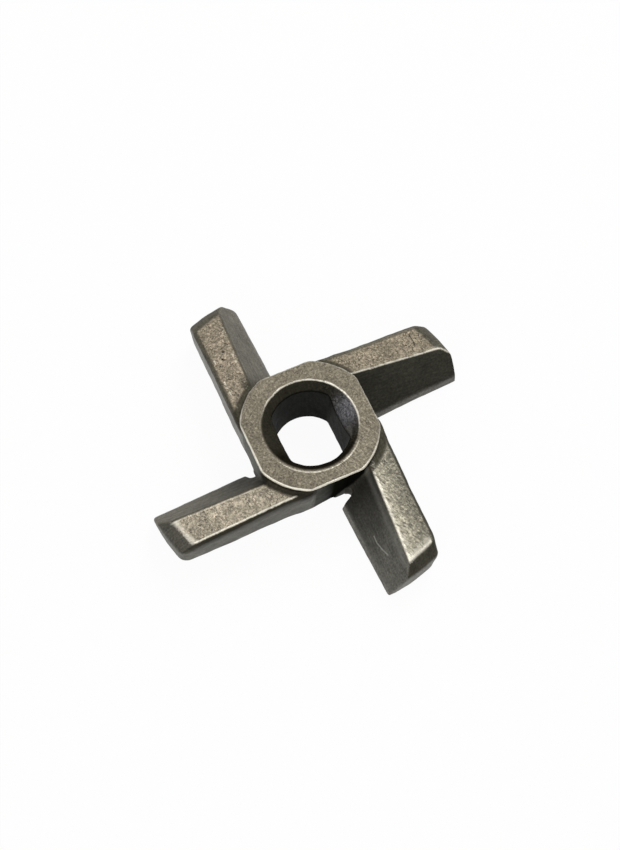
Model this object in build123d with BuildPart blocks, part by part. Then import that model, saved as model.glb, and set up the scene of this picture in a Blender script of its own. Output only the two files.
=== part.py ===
from build123d import *
import os
from math import acos, atan2, cos, degrees, hypot, radians, sin, sqrt, tan

# Meat grinder knife: a square hub with four pinwheel arms on one flat cutting face.
# Millimetres, +Z up, origin on the bore axis in the plane of the cutting face.

# Swept size and hub
swept_diameter = 95.0
hub_height = 17.0
hub_diameter = 37.8
flat_depth = 1.5
draft_angle = 2.0

# Double-D bore: its round draws in more than its flats, and it has a countersink
bore_diameter = 21.5
bore_across_flats = 17.3
round_draft = 3.2
flat_draft = 1.3
countersink_diameter = 26.0
countersink_depth = 2.0

# Arms: the cutting edge leads, the trailing wall stands a little proud of a hub flat
arm_count = 4
trail_inset = 0.8
trail_draft = 4.0
top_step = 2.2
top_slope = 7.4
level_inset = 2.4
edge_offset = 0.6
edge_angle = 2.4
lip_height = 2.2
lip_lean = 0.55
ridge_offset = 9.8
ridge_angle = 2.9
tip_chamfer = 2.6

# Relief cut where the cutting edge meets the hub
relief_width = 3.5
relief_reach = 4.3
relief_radius = 1.25
relief_lean = -4.0

# Flare at the hub's foot and rounding of the edges
flare = 1.1
trail_radius = 1.1
worn_radius = 0.4

# How far one shape runs on inside another
overlap = 1.5

# Values that follow from the ones above
hub_radius = hub_diameter / 2
flat = hub_radius - flat_depth
flat_end = sqrt(hub_radius**2 - flat**2)
arm_start = flat_end - overlap
swept_radius = swept_diameter / 2
root_top = hub_height - top_step
trail_offset = flat - trail_inset
level_end = flat - level_inset
level_top = root_top + level_inset * tan(radians(top_slope))
bevel_rise = (ridge_offset - edge_offset - lip_lean) / (root_top - lip_height)


def wall(z):
    """Distance of a hub flat from the axis: the walls draw in towards the cutting face."""
    return flat - (hub_height - z) * tan(radians(draft_angle))


def ridge(x):
    """Offset of the arm's ridge at the distance x from the axis."""
    return ridge_offset - (x - flat) * tan(radians(ridge_angle))


def trail(x, z):
    """Offset of the arm's trailing wall: it starts inside the hub and comes out of its flat."""
    inside = wall(z) - worn_radius / 2
    share = min((x - arm_start) / overlap, 1)
    return inside + share * (trail_offset + z * tan(radians(trail_draft)) - inside)


def arm_section(x):
    """Corners of the arm's cross-section: level inside the hub, then sloping down to the tip."""
    out = x - flat
    y_edge = edge_offset + out * tan(radians(edge_angle))
    z_top = level_top - max(x - level_end, 0) * tan(radians(top_slope))
    return [
        (y_edge, 0),
        (y_edge + lip_lean, lip_height),
        (ridge(x), z_top),
        (trail(x, z_top), z_top),
        (trail(x, 0), 0),
    ]


# One arm, pointing along +X
with BuildPart() as arm:
    stations = (arm_start, flat_end, level_end, swept_radius + overlap)
    for ends in zip(stations, stations[1:]):
        for x in ends:
            with BuildSketch(Plane.YZ.offset(x)):
                with BuildLine():
                    Polyline(*arm_section(x), close=True)
                make_face()
        loft(ruled=True)

    # The tip is turned to the swept diameter, with a chamfer above
    tip_z = root_top - (swept_radius - flat) * tan(radians(top_slope)) - tip_chamfer
    with BuildSketch(Plane.XZ):
        with BuildLine():
            Polyline(
                (0, 0),
                (swept_radius, 0),
                (swept_radius, tip_z),
                (swept_radius - hub_height + tip_z, hub_height),
                (0, hub_height),
                close=True,
            )
        make_face()
    revolve(axis=Axis.Z, mode=Mode.INTERSECT)

    # Rounded edges: along the trailing wall and round the tip, then the sharper ridge
    tip = arm.faces().filter_by(GeomType.CYLINDER).sort_by(Axis.X)[-1]
    chamfered = arm.faces().filter_by(GeomType.CONE).sort_by(Axis.X)[-1]
    above_tip = arm.edges().filter_by(lambda e: e.center().Z > tip_z + tip_chamfer)
    soft_edges = above_tip.filter_by(lambda e: e.center().Y > wall(0))
    soft_edges += [
        chamfered.edges().sort_by(Axis.Y)[-1],
        chamfered.edges().sort_by(Axis.Z)[-1],
        tip.edges().sort_by(Axis.Y)[-1],
        tip.edges().sort_by(Axis.Z)[-1],
    ]
    fillet(soft_edges, radius=trail_radius)
    above_tip = arm.edges().filter_by(lambda e: e.center().Z > tip_z + tip_chamfer)
    along = above_tip.filter_by(lambda e: abs(e.tangent_at(0.5).X) > abs(e.tangent_at(0.5).Y))
    fillet(along.filter_by(lambda e: e.center().Y < ridge(0)), radius=worn_radius)

# Flare at the hub's foot, kept between the arm's ridge and its trailing wall
with BuildPart() as foot:
    foot_radius = hub_radius - (hub_height - level_top) * tan(radians(draft_angle))
    under = root_top - trail_radius
    with BuildSketch(Plane.XZ):
        with BuildLine():
            Polyline(
                (flat_end, level_top + flare),
                (flat_end, under),
                (foot_radius + flare, under),
                (foot_radius + flare, level_top),
                (foot_radius, level_top + flare),
                close=True,
            )
        make_face()
    revolve(axis=Axis.Z)
    for x in (arm_start, swept_radius):
        inside = ridge(x) + 2 * worn_radius
        with BuildSketch(Plane.YZ.offset(x)):
            with BuildLine():
                Polyline(
                    (inside, under),
                    (inside, level_top),
                    (inside + bevel_rise * top_step, hub_height),
                    (wall(hub_height) - worn_radius / 2, hub_height),
                    (wall(under) - worn_radius / 2, under),
                    close=True,
                )
            make_face()
    loft(ruled=True, mode=Mode.INTERSECT)

with BuildPart() as knife:
    # Hub: a drafted round boss with four drafted flats, then the arms around it
    with BuildSketch(Plane.XZ):
        with BuildLine():
            Polyline(
                (0, 0),
                (hub_radius - hub_height * tan(radians(draft_angle)), 0),
                (hub_radius, hub_height),
                (0, hub_height),
                close=True,
            )
        make_face()
    revolve(axis=Axis.Z)
    with BuildSketch(Plane.XY.offset(hub_height)):
        Rectangle(2 * flat, 2 * flat)
    extrude(amount=-hub_height, taper=draft_angle, mode=Mode.INTERSECT)
    fillet(knife.faces().sort_by(Axis.Z)[-1].edges(), radius=worn_radius)
    with PolarLocations(0, arm_count):
        add(arm.part)
    with PolarLocations(0, arm_count):
        add(foot.part)

    # Relief cut: its inner end is round, its flank is a tangent through the mouth's corner
    round_x = wall(0) + relief_radius
    round_y = edge_offset + relief_reach - relief_radius
    mouth_x = wall(0) + relief_width
    to_mouth = atan2(edge_offset - round_y, mouth_x - round_x)
    touch = to_mouth + acos(relief_radius / hypot(mouth_x - round_x, edge_offset - round_y))
    touch_x = round_x + relief_radius * cos(touch)
    touch_y = round_y + relief_radius * sin(touch)
    flank_run = (mouth_x - touch_x) / (touch_y - edge_offset)
    low_y = edge_offset - hub_height * bevel_rise
    with BuildPart(mode=Mode.PRIVATE) as relief:
        with BuildSketch(Plane.XY):
            with BuildLine():
                Polyline(
                    (wall(0), round_y),
                    (wall(0), low_y),
                    (mouth_x + flank_run * (edge_offset - low_y), low_y),
                    (touch_x, touch_y),
                )
                CenterArc((round_x, round_y), relief_radius, degrees(touch), 180 - degrees(touch))
            make_face()
        extrude(amount=hub_height, dir=(sin(radians(draft_angle)), sin(radians(relief_lean)), 1))
    with PolarLocations(0, arm_count):
        add(relief.part, mode=Mode.SUBTRACT)

    # Double-D bore: a drafted round with two drafted flats
    with BuildPart(mode=Mode.PRIVATE) as bore:
        with BuildSketch(Plane.XZ):
            with BuildLine():
                Polyline(
                    (0, 0),
                    (bore_diameter / 2 - hub_height * tan(radians(round_draft)), 0),
                    (bore_diameter / 2, hub_height),
                    (0, hub_height),
                    close=True,
                )
            make_face()
        revolve(axis=Axis.Z)
        with BuildSketch(Plane.XY.offset(hub_height)):
            Rectangle(bore_across_flats, 2 * bore_diameter)
        extrude(amount=-hub_height, taper=flat_draft, mode=Mode.INTERSECT)
    add(bore.part, mode=Mode.SUBTRACT)

    # Countersink: the same cone runs on down the two flats
    cone_slope = countersink_depth / (countersink_diameter - bore_diameter) * 2
    cone_depth = cone_slope * countersink_diameter / 2
    with BuildSketch(Plane.XZ):
        with BuildLine():
            Polyline(
                (0, hub_height),
                (countersink_diameter / 2, hub_height),
                (0, hub_height - cone_depth),
                close=True,
            )
        make_face()
    revolve(axis=Axis.Z, mode=Mode.SUBTRACT)

    # Worn edge of the countersink
    hub_top = knife.faces().filter_by(GeomType.PLANE).sort_by(Axis.Z)[-1]
    fillet(hub_top.inner_wires()[0].edges(), radius=worn_radius)

knife.part.label = "knife"
os.makedirs("parts", exist_ok=True)
export_step(knife.part, "parts/knife.step")
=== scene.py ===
# %% [markdown]
# # A knife for a meat grinder
# The real object is one piece of cast steel: a square hub with a double-D bore, and four arms that
# make a pinwheel. The skin of the casting is rough and brown, the slopes are smooth and dark, and
# every edge is rubbed bright. This file loads the measured solid, makes a softer and more worn
# version of it as one mesh, gives it a finish, and puts a floor, a light and a camera around it.

# %% Load the measured solid
import math

import bmesh
import bpy
import numpy as np
from mathutils import Matrix, Vector


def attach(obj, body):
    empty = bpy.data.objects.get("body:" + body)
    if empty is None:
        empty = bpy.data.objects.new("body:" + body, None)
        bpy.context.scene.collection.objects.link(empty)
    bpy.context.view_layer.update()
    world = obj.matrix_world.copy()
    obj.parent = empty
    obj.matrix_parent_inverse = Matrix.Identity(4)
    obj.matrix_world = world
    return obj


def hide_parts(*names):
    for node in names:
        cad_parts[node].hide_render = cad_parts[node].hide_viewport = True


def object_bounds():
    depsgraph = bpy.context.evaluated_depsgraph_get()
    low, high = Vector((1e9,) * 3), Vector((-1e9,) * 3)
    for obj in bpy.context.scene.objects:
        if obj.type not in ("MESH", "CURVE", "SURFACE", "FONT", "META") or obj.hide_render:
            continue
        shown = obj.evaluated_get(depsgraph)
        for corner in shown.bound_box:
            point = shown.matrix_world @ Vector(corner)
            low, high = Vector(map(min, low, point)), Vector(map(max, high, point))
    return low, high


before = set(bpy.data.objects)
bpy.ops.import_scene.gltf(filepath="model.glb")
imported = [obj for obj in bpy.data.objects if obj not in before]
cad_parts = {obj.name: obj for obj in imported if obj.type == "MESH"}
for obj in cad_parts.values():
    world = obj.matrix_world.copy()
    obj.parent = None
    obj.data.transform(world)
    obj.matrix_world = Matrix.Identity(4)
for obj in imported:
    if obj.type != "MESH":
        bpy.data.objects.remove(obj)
cad_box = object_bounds()
MM = 0.001
print("solid:", [round(high - low, 4) for low, high in zip(*cad_box)], "m")

# %% [markdown]
# ## The camera
# It looks down at the knife from the front left. A photograph can be matched by eye, or by solving
# for the eye point from known corners, which is what these numbers come from. The small shift
# keeps the middle of the lens where it was in the picture.

# %% Camera
EYE = (-0.05694, -0.10439, 0.29712)
AZIMUTH = math.radians(-28.455)
ELEVATION = math.radians(67.431)
ROLL = math.radians(4.268)
FOCAL_PIXELS = 1138.29
PICTURE_HEIGHT = 850
SENSOR = 36.0
LENS_SHIFT = (0.0019, 0.0088)
NEAREST_SEEN = 0.01


def look_matrix(azimuth, elevation, roll, eye):
    """World matrix of a camera that looks back along the given direction."""
    back = np.array([
        math.sin(azimuth) * math.cos(elevation),
        -math.cos(azimuth) * math.cos(elevation),
        math.sin(elevation),
    ])
    right = np.cross(-back, [0.0, 0.0, 1.0])
    right /= np.linalg.norm(right)
    down = np.cross(-back, right)
    cos_roll = math.cos(roll)
    sin_roll = math.sin(roll)
    across = cos_roll * right - sin_roll * down
    below = sin_roll * right + cos_roll * down
    turn = Matrix([(across[i], -below[i], back[i]) for i in range(3)])
    return Matrix.Translation(eye) @ turn.to_4x4()


camera_data = bpy.data.cameras.new("camera")
camera = bpy.data.objects.new("camera", camera_data)
bpy.context.collection.objects.link(camera)
camera.matrix_world = look_matrix(AZIMUTH, ELEVATION, ROLL, EYE)
camera_data.sensor_width = SENSOR
camera_data.lens = FOCAL_PIXELS * SENSOR / PICTURE_HEIGHT
camera_data.shift_x, camera_data.shift_y = LENS_SHIFT
camera_data.clip_start = NEAREST_SEEN
bpy.context.scene.camera = camera
print("lens:", round(camera_data.lens, 2), "mm")

# %% [markdown]
# ## The shape as a distance rule
# A worn casting has no sharp corner anywhere, and every hollow corner is filled a little. Bevel
# modifiers struggle where so many faces meet, so the knife is written as a rule that says how far
# a point is from the surface: below zero inside, above zero outside. Plane by plane the rules are
# cut and joined with a radius, and the rounding comes for free.

# %% Sizes of the knife, in millimetres
HUB_HEIGHT = 17.0
HUB_RADIUS = 18.9
FLAT = 17.4
DRAFT = math.tan(math.radians(2.0))
SWEPT_RADIUS = 47.5
CHAMFER_START = 8.29
TOP_AT_HUB = 15.11
TOP_SLOPE = 0.1299
SLOPE_START = 15.0
EDGE_OFFSET = 0.6
EDGE_SLOPE = 0.0419
RIDGE_OFFSET = 9.8
RIDGE_SLOPE = 0.0507
LIP_HEIGHT = 2.2
LIP_LEAN = 0.55
WALL_OFFSET = 16.76
WALL_LEAN = 0.062
WALL_INSET = 0.2
WALL_RUN_OUT = 1.5
RUN_OUT_LEAD = 0.2
BORE_RADIUS = 11.1
BORE_DRAFT = 0.0765
BORE_FLAT = 8.65
BORE_FLAT_DRAFT = 0.0227
BORE_SHIFT = 0.3
CONE_RADIUS = 13.0
CONE_SLOPE = 1.125

# Radii of the worn corners and of the filled hollows
ROUND = {
    "chamfer": 0.8,
    "top": 1.05,
    "lip": 0.12,
    "hub_corner": 0.45,
    "hub_rim": 0.42,
    "bore_corner": 0.35,
    "cone_foot": 0.2,
    "hole_rim": 0.32,
    "relief": 0.2,
}

# What is left of a length along one axis when it is measured square to a leaning face
SQUARE = {
    "top": 0.9917,
    "lip": 0.9701,
    "wall": 0.9976,
    "chamfer": 0.7071,
    "hub": 0.9994,
    "cone": 0.6644,
}
print("knife:", 2 * SWEPT_RADIUS, "mm across,", HUB_HEIGHT, "mm high")

# %% [markdown]
# ## Cutting and joining with a radius
# The plain rule for what two shapes share is the larger of the two distances, and it leaves a
# sharp corner. Adding the two distances as the sides of a right angle, near the corner only, gives
# an arc instead. Seen from outside, the same rule fills a hollow.

# %% Rounded cuts and joins
def round_cut(a, b, radius):
    """What two shapes have in common, with the corner between them rounded."""
    over_a = np.maximum(a + radius, 0)
    over_b = np.maximum(b + radius, 0)
    return np.minimum(np.maximum(a, b), -radius) + np.sqrt(over_a**2 + over_b**2)


def round_join(a, b, radius):
    """Two shapes together, with the hollow corner between them filled."""
    return -round_cut(-a, -b, radius)


def step_up(value, low, high):
    """Rises softly from 0 at low to 1 at high."""
    share = np.clip((value - low) / (high - low), 0, 1)
    return share * share * (3 - 2 * share)


def bell(value, middle, width):
    """1 at the middle, falling softly to 0."""
    return np.exp(-(((value - middle) / width) ** 2))


print("corner of two planes, rounded by 1:", round(float(round_cut(0.0, 0.0, 1.0)), 3))

# %% [markdown]
# ## One arm
# Each arm has a sloping top, a big slope on its leading side, a low lip under it, an upright
# trailing wall and a turned tip with a chamfer. Each of these faces is one plane or cone.
# The four arms were ground by hand, so their edges and walls differ by fractions of a millimetre,
# and one arm bulges a little where its trailing wall leaves the hub. Pairs of shifts are for the
# end by the hub and for the tip.

# %% Faces of an arm and its whole shape
ARM_NAMES = ("right", "back", "left", "front")


def per_arm(right, back, left, front):
    """One value for each arm, found by the arm's name."""
    return dict(zip(ARM_NAMES, (right, back, left, front)))


RIDGE_ROUND = per_arm(0.3, 0.6, 0.55, 0.9)
TIP_CORNER = per_arm(1.2, 1.1, 1.9, 1.4)
LIP_CORNER = per_arm(0.45, 0.9, 0.9, 0.9)
EDGE_SHIFT = per_arm((-0.6, -0.2), (0.0, -0.15), (0.0, 0.0), (0.15, 0.0))
WALL_SHIFT = per_arm((-0.3, 0.5), (0.1, 0.2), (-0.3, 0.05), (0.05, 0.38))
TIP_SHIFT = per_arm(0.3, 0.2, 0.25, 0.35)
CHAMFER_SHIFT = per_arm(0.7, 0.0, 0.0, 0.35)
ROOT = per_arm(6.2, 6.2, 6.2, 3.9)
ROOT_BULGE = per_arm(0.0, 0.0, 0.0, 0.6)

# Below this height, walls and tips draw in a little
LOW_ZONE = 8.0
TIP_DRAW = 0.2


def arm_frame(x, y, number):
    """Coordinates along and across arm 0, 1, 2 or 3, each a quarter turn from the last."""
    cos_turn = (1, 0, -1, 0)[number]
    sin_turn = (0, 1, 0, -1)[number]
    return x * cos_turn + y * sin_turn, y * cos_turn - x * sin_turn


def arm_faces(u, v, z, name):
    """Distance from each face of an arm, u along it and v across it."""
    out = u - FLAT
    at_hub, at_tip = EDGE_SHIFT[name]
    edge = EDGE_OFFSET + EDGE_SLOPE * out + at_hub + (at_tip - at_hub) * step_up(u, 18, 34)
    ridge = RIDGE_OFFSET - RIDGE_SLOPE * out
    top = TOP_AT_HUB - TOP_SLOPE * np.maximum(u - SLOPE_START, 0)
    rise = (ridge - edge - LIP_LEAN) / (top - LIP_HEIGHT)
    at_hub, at_tip = WALL_SHIFT[name]
    shift = at_hub * step_up(u, 8, 14) * (1 - step_up(u, 20, 30)) + at_tip * step_up(u, 24, 42)
    shift = shift + ROOT_BULGE[name] * bell(u, 7.2, 3.6)
    inside = FLAT - (HUB_HEIGHT - z) * DRAFT - WALL_INSET
    outside = WALL_OFFSET + shift + WALL_LEAN * z
    share = np.clip((u - ROOT[name]) / WALL_RUN_OUT + RUN_OUT_LEAD, 0, 1)
    wall = inside + share * (outside - inside)
    reach = np.hypot(u, v)
    tip_draw = TIP_DRAW * np.maximum(1 - z / LOW_ZONE, 0)
    chamfer = reach - SWEPT_RADIUS + z - CHAMFER_START - CHAMFER_SHIFT[name]
    return {
        "top": (z - top) * SQUARE["top"],
        "slope": (edge + LIP_LEAN + rise * (z - LIP_HEIGHT) - v) / np.sqrt(1 + rise**2),
        "lip": (edge + LIP_LEAN / LIP_HEIGHT * z - v) * SQUARE["lip"],
        "wall": (v - wall) * SQUARE["wall"],
        "tip": reach - SWEPT_RADIUS - TIP_SHIFT[name] + tip_draw,
        "chamfer": chamfer * SQUARE["chamfer"],
        "root": ROOT[name] - u,
    }


def arm_shape(u, v, z, name):
    """One arm with its worn corners."""
    face = arm_faces(u, v, z, name)
    end = round_cut(face["tip"], face["chamfer"], ROUND["chamfer"])
    end = round_cut(end, face["lip"], LIP_CORNER[name])
    sides = round_cut(face["wall"], end, TIP_CORNER[name])
    body = round_cut(face["top"], sides, ROUND["top"])
    body = round_cut(body, face["slope"], RIDGE_ROUND[name])
    body = round_cut(body, face["lip"], ROUND["lip"])
    return np.maximum(body, face["root"])


for name in ARM_NAMES:
    depth = -float(arm_shape(30.0, 13.0, 6.0, name))
    print(name, "arm: a point inside it lies", round(depth, 2), "mm deep")

# %% [markdown]
# ## The relief cut
# Where the cutting edge meets the hub, a narrow cut gives the grinding wheel room to run out. It
# is a slot with a round inner end and a flank that opens outwards. It could be cut from the mesh
# with a Boolean modifier, but as a rule it gets the same soft rim as the rest.

# %% Relief cut
RELIEF_CENTRE = (18.056, 3.65)
RELIEF_RADIUS = 1.25
RELIEF_HALF = 1.15
RELIEF_LEAN = 0.0698
RELIEF_FLANK = (0.9555, 0.295)
RELIEF_SIDE = per_arm(0.0, 0.0, 0.1, -0.35)
RELIEF_REACH = per_arm(0.0, 0.0, 0.4, 0.0)


def relief_shape(u, v, z, name):
    """Narrow cut beside the hub, open below the slope, with a round inner end."""
    along = u - z * DRAFT - RELIEF_CENTRE[0]
    across = v + RELIEF_LEAN * z - RELIEF_CENTRE[1] + RELIEF_REACH[name]
    side = RELIEF_SIDE[name] - RELIEF_HALF - along
    flank = RELIEF_FLANK[0] * along + RELIEF_FLANK[1] * across - RELIEF_RADIUS
    cap = np.hypot(along, across) - RELIEF_RADIUS
    return np.maximum(side, np.where(across > 0, cap, flank))


print("relief cut:", 2 * RELIEF_RADIUS, "mm wide at its inner end")

# %% [markdown]
# ## Hub, bore and the whole knife
# The hub is a drafted cone cut by four drafted flats. The bore draws in towards the cutting face
# and has a countersink. Arms join the hub with a small hollow, which fades out at the trailing
# wall, because there the two surfaces run into each other. Two of the hub's flats draw in a
# little towards the foot, as the lower outline of the real one does.

# %% Hub, bore and the whole knife
FRONT_TUCK = 0.6
LEFT_TUCK = 0.25
COVE_LEAST = 0.1
COVE_MORE = 1.2


def hub_faces(x, y, z):
    """Distance from the faces of the hub and of its hole."""
    reach = np.hypot(x, y)
    below = HUB_HEIGHT - z
    low = np.clip(1 - z / LOW_ZONE, 0, 1)
    front_tuck = FRONT_TUCK * low * step_up(-y, 10, 14) * step_up(x, -8, 0)
    left_tuck = LEFT_TUCK * low * bell(y, 3.6, 3.4) * (x < 0)
    flats = np.maximum(np.abs(x) + left_tuck, np.abs(y) + front_tuck) - FLAT + below * DRAFT
    barrel = (reach - HUB_RADIUS + below * DRAFT) * SQUARE["hub"]
    bore_round = np.hypot(x, y + BORE_SHIFT) - BORE_RADIUS + below * BORE_DRAFT
    bore_flats = np.abs(x) - BORE_FLAT + below * BORE_FLAT_DRAFT
    return {
        "hub_top": z - HUB_HEIGHT,
        "hub_wall": round_cut(barrel, flats, ROUND["hub_corner"]),
        "bore": round_cut(bore_round, bore_flats, ROUND["bore_corner"]),
        "sink": (reach - CONE_RADIUS + CONE_SLOPE * below) * SQUARE["cone"],
    }


def waviness(x, y, z):
    """Slow unevenness of the casting, under a tenth of a millimetre."""
    waves = (
        (0.91, 0.37, 0.52, 1.3, 0.022),
        (-0.62, 1.04, 0.31, 4.1, 0.020),
        (1.63, -0.88, 0.94, 0.4, 0.014),
        (0.47, 1.91, -1.20, 2.2, 0.013),
        (2.30, 1.35, 0.66, 5.6, 0.009),
        (-1.75, 2.42, 1.10, 3.3, 0.009),
    )
    total = 0
    for wave_x, wave_y, wave_z, phase, height in waves:
        total = total + height * np.sin(wave_x * x + wave_y * y + wave_z * z + phase)
    return total


def knife_distance(x, y, z):
    """How far a point is from the surface of the whole knife, without its underside."""
    hub = hub_faces(x, y, z)
    body = round_cut(hub["hub_wall"], hub["hub_top"], ROUND["hub_rim"])
    whole = body
    for number, name in enumerate(ARM_NAMES):
        u, v = arm_frame(x, y, number)
        cove = COVE_LEAST + COVE_MORE * (1 - step_up(v, 14.6, 16.4))
        joined = round_join(body, arm_shape(u, v, z, name), cove)
        joined = round_cut(joined, -relief_shape(u, v, z, name), ROUND["relief"])
        near = u > np.abs(y if number % 2 == 0 else x) * 0.2
        whole = np.minimum(whole, np.where(near, joined, body))
    hole = round_join(hub["bore"], hub["sink"], ROUND["cone_foot"])
    return round_cut(whole, -hole, ROUND["hole_rim"]) + waviness(x, y, z)


middle = np.zeros(1)
print("free space on the axis:", round(float(knife_distance(middle, middle, middle)[0]), 2), "mm")

# %% [markdown]
# ## From the rule to a mesh
# The rule is sampled on a grid. Every grid edge that crosses the surface gives one four-sided
# face between the cells around it, and every crossed cell gives one corner. A voxel remesh does the
# same, but here each corner can then be pulled exactly on to the surface, so flats stay flat.

# %% Faces of the grid
def surface_net(distance, origin, step):
    """Corners and four-sided faces of the surface where the sampled distance is zero."""
    inside = distance < 0
    cells = np.array(distance.shape) - 1
    flat_count = int(np.prod(cells))
    total = np.zeros((3, flat_count))
    count = np.zeros(flat_count)
    faces = []
    for axis in range(3):
        first = [slice(None)] * 3
        second = [slice(None)] * 3
        first[axis] = slice(None, -1)
        second[axis] = slice(1, None)
        start = distance[tuple(first)]
        end = distance[tuple(second)]
        edge = np.argwhere(inside[tuple(first)] != inside[tuple(second)])
        where = tuple(edge.T)
        share = start[where] / (start[where] - end[where])
        point = edge.astype(float)
        point[:, axis] += share
        one = (axis + 1) % 3
        two = (axis + 2) % 3
        ring = []
        for shift_one, shift_two in ((0, 0), (-1, 0), (-1, -1), (0, -1)):
            cell = edge.copy()
            cell[:, one] += shift_one
            cell[:, two] += shift_two
            ring.append(cell)
        good = np.all([(c >= 0).all(1) & (c < cells).all(1) for c in ring], axis=0)
        index = [np.ravel_multi_index(np.clip(c, 0, cells - 1).T, cells) for c in ring]
        for cell in index:
            for i in range(3):
                total[i] += np.bincount(cell[good], point[good, i], flat_count)
            count += np.bincount(cell[good], minlength=flat_count)
        quad = np.stack([cell[good] for cell in index], 1)
        outward = inside[tuple(first)][where][good]
        quad[~outward] = quad[~outward][:, ::-1]
        if axis == 2:
            quad = quad[edge[good, 2] > 0]
        faces.append(quad)
    faces = np.concatenate(faces)
    used, faces = np.unique(faces, return_inverse=True)
    points = (total[:, used] / count[used]).T * step + origin
    layer = np.unravel_index(used, cells)[2]
    return points, faces.reshape(-1, 4), layer == 0


ball = np.linalg.norm(np.indices((5, 5, 5)) - 2.0, axis=0) - 1.5
print("faces of a small test ball:", len(surface_net(ball, np.zeros(3), 1.0)[1]))

# %% [markdown]
# ## Corners on the surface
# The first corners lie only near the surface. Each one is moved along the steepest way down until
# its distance is nothing, and between these moves the corners are spread evenly. The lowest
# layer of corners is put on the cutting face, which is ground flat and keeps its sharp rim.

# %% Pull the corners on to the surface
LONGEST_MOVE = 0.3
LEAST_STEEPNESS = 0.2


def gradient(points, gap=0.02):
    """Direction in which the distance grows, at each point."""
    slopes = []
    for axis in range(3):
        shift = np.zeros(3)
        shift[axis] = gap
        ahead = knife_distance(*(points + shift).T)
        behind = knife_distance(*(points - shift).T)
        slopes.append((ahead - behind) / (2 * gap))
    return np.stack(slopes, 1)


def pull_to_surface(points, on_floor, rounds):
    """Moves corners along the gradient until they lie on the surface."""
    for _ in range(rounds):
        slope = gradient(points)
        slope[on_floor, 2] = 0
        size = np.maximum((slope**2).sum(1), LEAST_STEEPNESS)
        move = -knife_distance(*points.T)[:, None] * slope / size[:, None]
        points = points + np.clip(move, -LONGEST_MOVE, LONGEST_MOVE)
    return points


def relax(points, faces, fixed, amount):
    """Moves each free corner towards the middle of its neighbours."""
    total = np.zeros_like(points)
    count = np.zeros(len(points))
    for a, b in ((0, 1), (1, 2), (2, 3), (3, 0)):
        for start, end in ((a, b), (b, a)):
            for i in range(3):
                total[:, i] += np.bincount(faces[:, start], points[faces[:, end], i], len(points))
            count += np.bincount(faces[:, start], minlength=len(points))
    middle = total / count[:, None]
    moved = points + amount * (middle - points)
    moved[fixed] = points[fixed]
    return moved


print("longest single move:", LONGEST_MOVE, "mm")

# %% [markdown]
# ## Sample the rule
# The step of the grid sets how fine the mesh is: half the step makes four times as many faces.

# %% The knife's corners and faces
STEP = 0.33

reach = SWEPT_RADIUS + 2 * STEP
side = int(2 * reach / STEP) + 2
tall = int((HUB_HEIGHT + 2 * STEP) / STEP) + 2
grid_start = np.array([-reach, -reach, -STEP / 2])
axis_xy = (-reach + STEP * np.arange(side)).astype(np.float32)
axis_z = (-STEP / 2 + STEP * np.arange(tall)).astype(np.float32)
sampled = knife_distance(*np.meshgrid(axis_xy, axis_xy, axis_z, indexing="ij"))
corners, quads, floor_corner = surface_net(sampled, grid_start, STEP)
corners[floor_corner, 2] = 0
corners = pull_to_surface(corners, floor_corner, 3)
for _ in range(2):
    corners = relax(corners, quads, floor_corner, 0.6)
    corners = pull_to_surface(corners, floor_corner, 2)
corners[:, 2] = np.maximum(corners[:, 2], 0)
print("corners:", len(corners), "faces:", len(quads))

# %% [markdown]
# ## Where each finish lies
# The finish depends on the face: cast tops, ground slopes, worn edges. As the rule knows how far a
# corner is from every face, each corner gets its tone and its wear, painted highlight included,
# from that, and they blend where faces meet. Painting by hand or by face would leave hard borders.
# A tone is the finish's own colour under this scene's light, with painted light and shade added on
# many faces, picked and then trimmed. A tone is the finish's own colour under this scene's light,
# picked by eye and then trimmed with test renders.

# %% Tones of the finishes
def tone(red, green, blue):
    """Linear colour of an everyday 0 to 255 colour."""
    share = np.array([red, green, blue]) / 255
    return np.where(share <= 0.04045, share / 12.92, ((share + 0.055) / 1.055) ** 2.4)


HUB_RING = tone(120, 113, 98)
# The darker ground tones are painted shade and the brighter wall tone is painted light: lit and
# shaded copies of one ground steel.
GROUND = tone(99, 96, 86)
SHADED_GROUND = tone(54, 53, 45)
DEEP_SHADED_GROUND = tone(44, 43, 39)
LIP_STEEL = tone(108, 106, 99)
WALL_STEEL = tone(90, 89, 80)
LIT_WALL_STEEL = tone(116, 115, 109)
HUB_WALL = tone(67, 66, 57)
HOLLOW_SHADE = tone(60, 57, 46)
SHADE = tone(40, 37, 28)
BLACK_SHADE = tone(13, 13, 10)
TIP_STEEL = tone(86, 83, 71)
BORE_STEEL = tone(34, 34, 31)
CONE_STEEL = tone(46, 44, 35)
CONE_FRONT_SHADE = tone(26, 23, 17)
CONE_REFLECTION_BLUE = tone(112, 111, 115)
UNDERSIDE = tone(128, 126, 120)

TOP_TONES = per_arm(
    tone(137, 127, 109), tone(146, 135, 117), tone(174, 164, 145), tone(156, 151, 134)
)
EDGE_SHADE_TONES = per_arm(tone(88, 85, 73), tone(80, 77, 66), tone(44, 42, 33), tone(66, 65, 56))
# Chamfer, tip, wall and slope tones differ from arm to arm as painted light and shade on one ground
# steel. The dark chamfers, the near-black slopes of the right and front arms and a slope's
# lightening towards its tip are painted shade and painted reflection.
CHAMFER_TONES = per_arm(tone(76, 73, 62), tone(78, 74, 62), tone(76, 74, 66), tone(62, 60, 50))
TIP_TONES = per_arm(TIP_STEEL, TIP_STEEL, tone(96, 95, 86), LIP_STEEL)
WALL_TONES = per_arm(TIP_STEEL, LIT_WALL_STEEL, WALL_STEEL, TIP_STEEL)
SLOPE_TONES = per_arm(
    (SHADED_GROUND, SHADED_GROUND),
    (GROUND, GROUND),
    (tone(58, 55, 44), tone(94, 91, 79)),
    (DEEP_SHADED_GROUND, tone(92, 91, 84)),
)
print("brightest top, as light:", TOP_TONES["left"].round(2))
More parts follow.
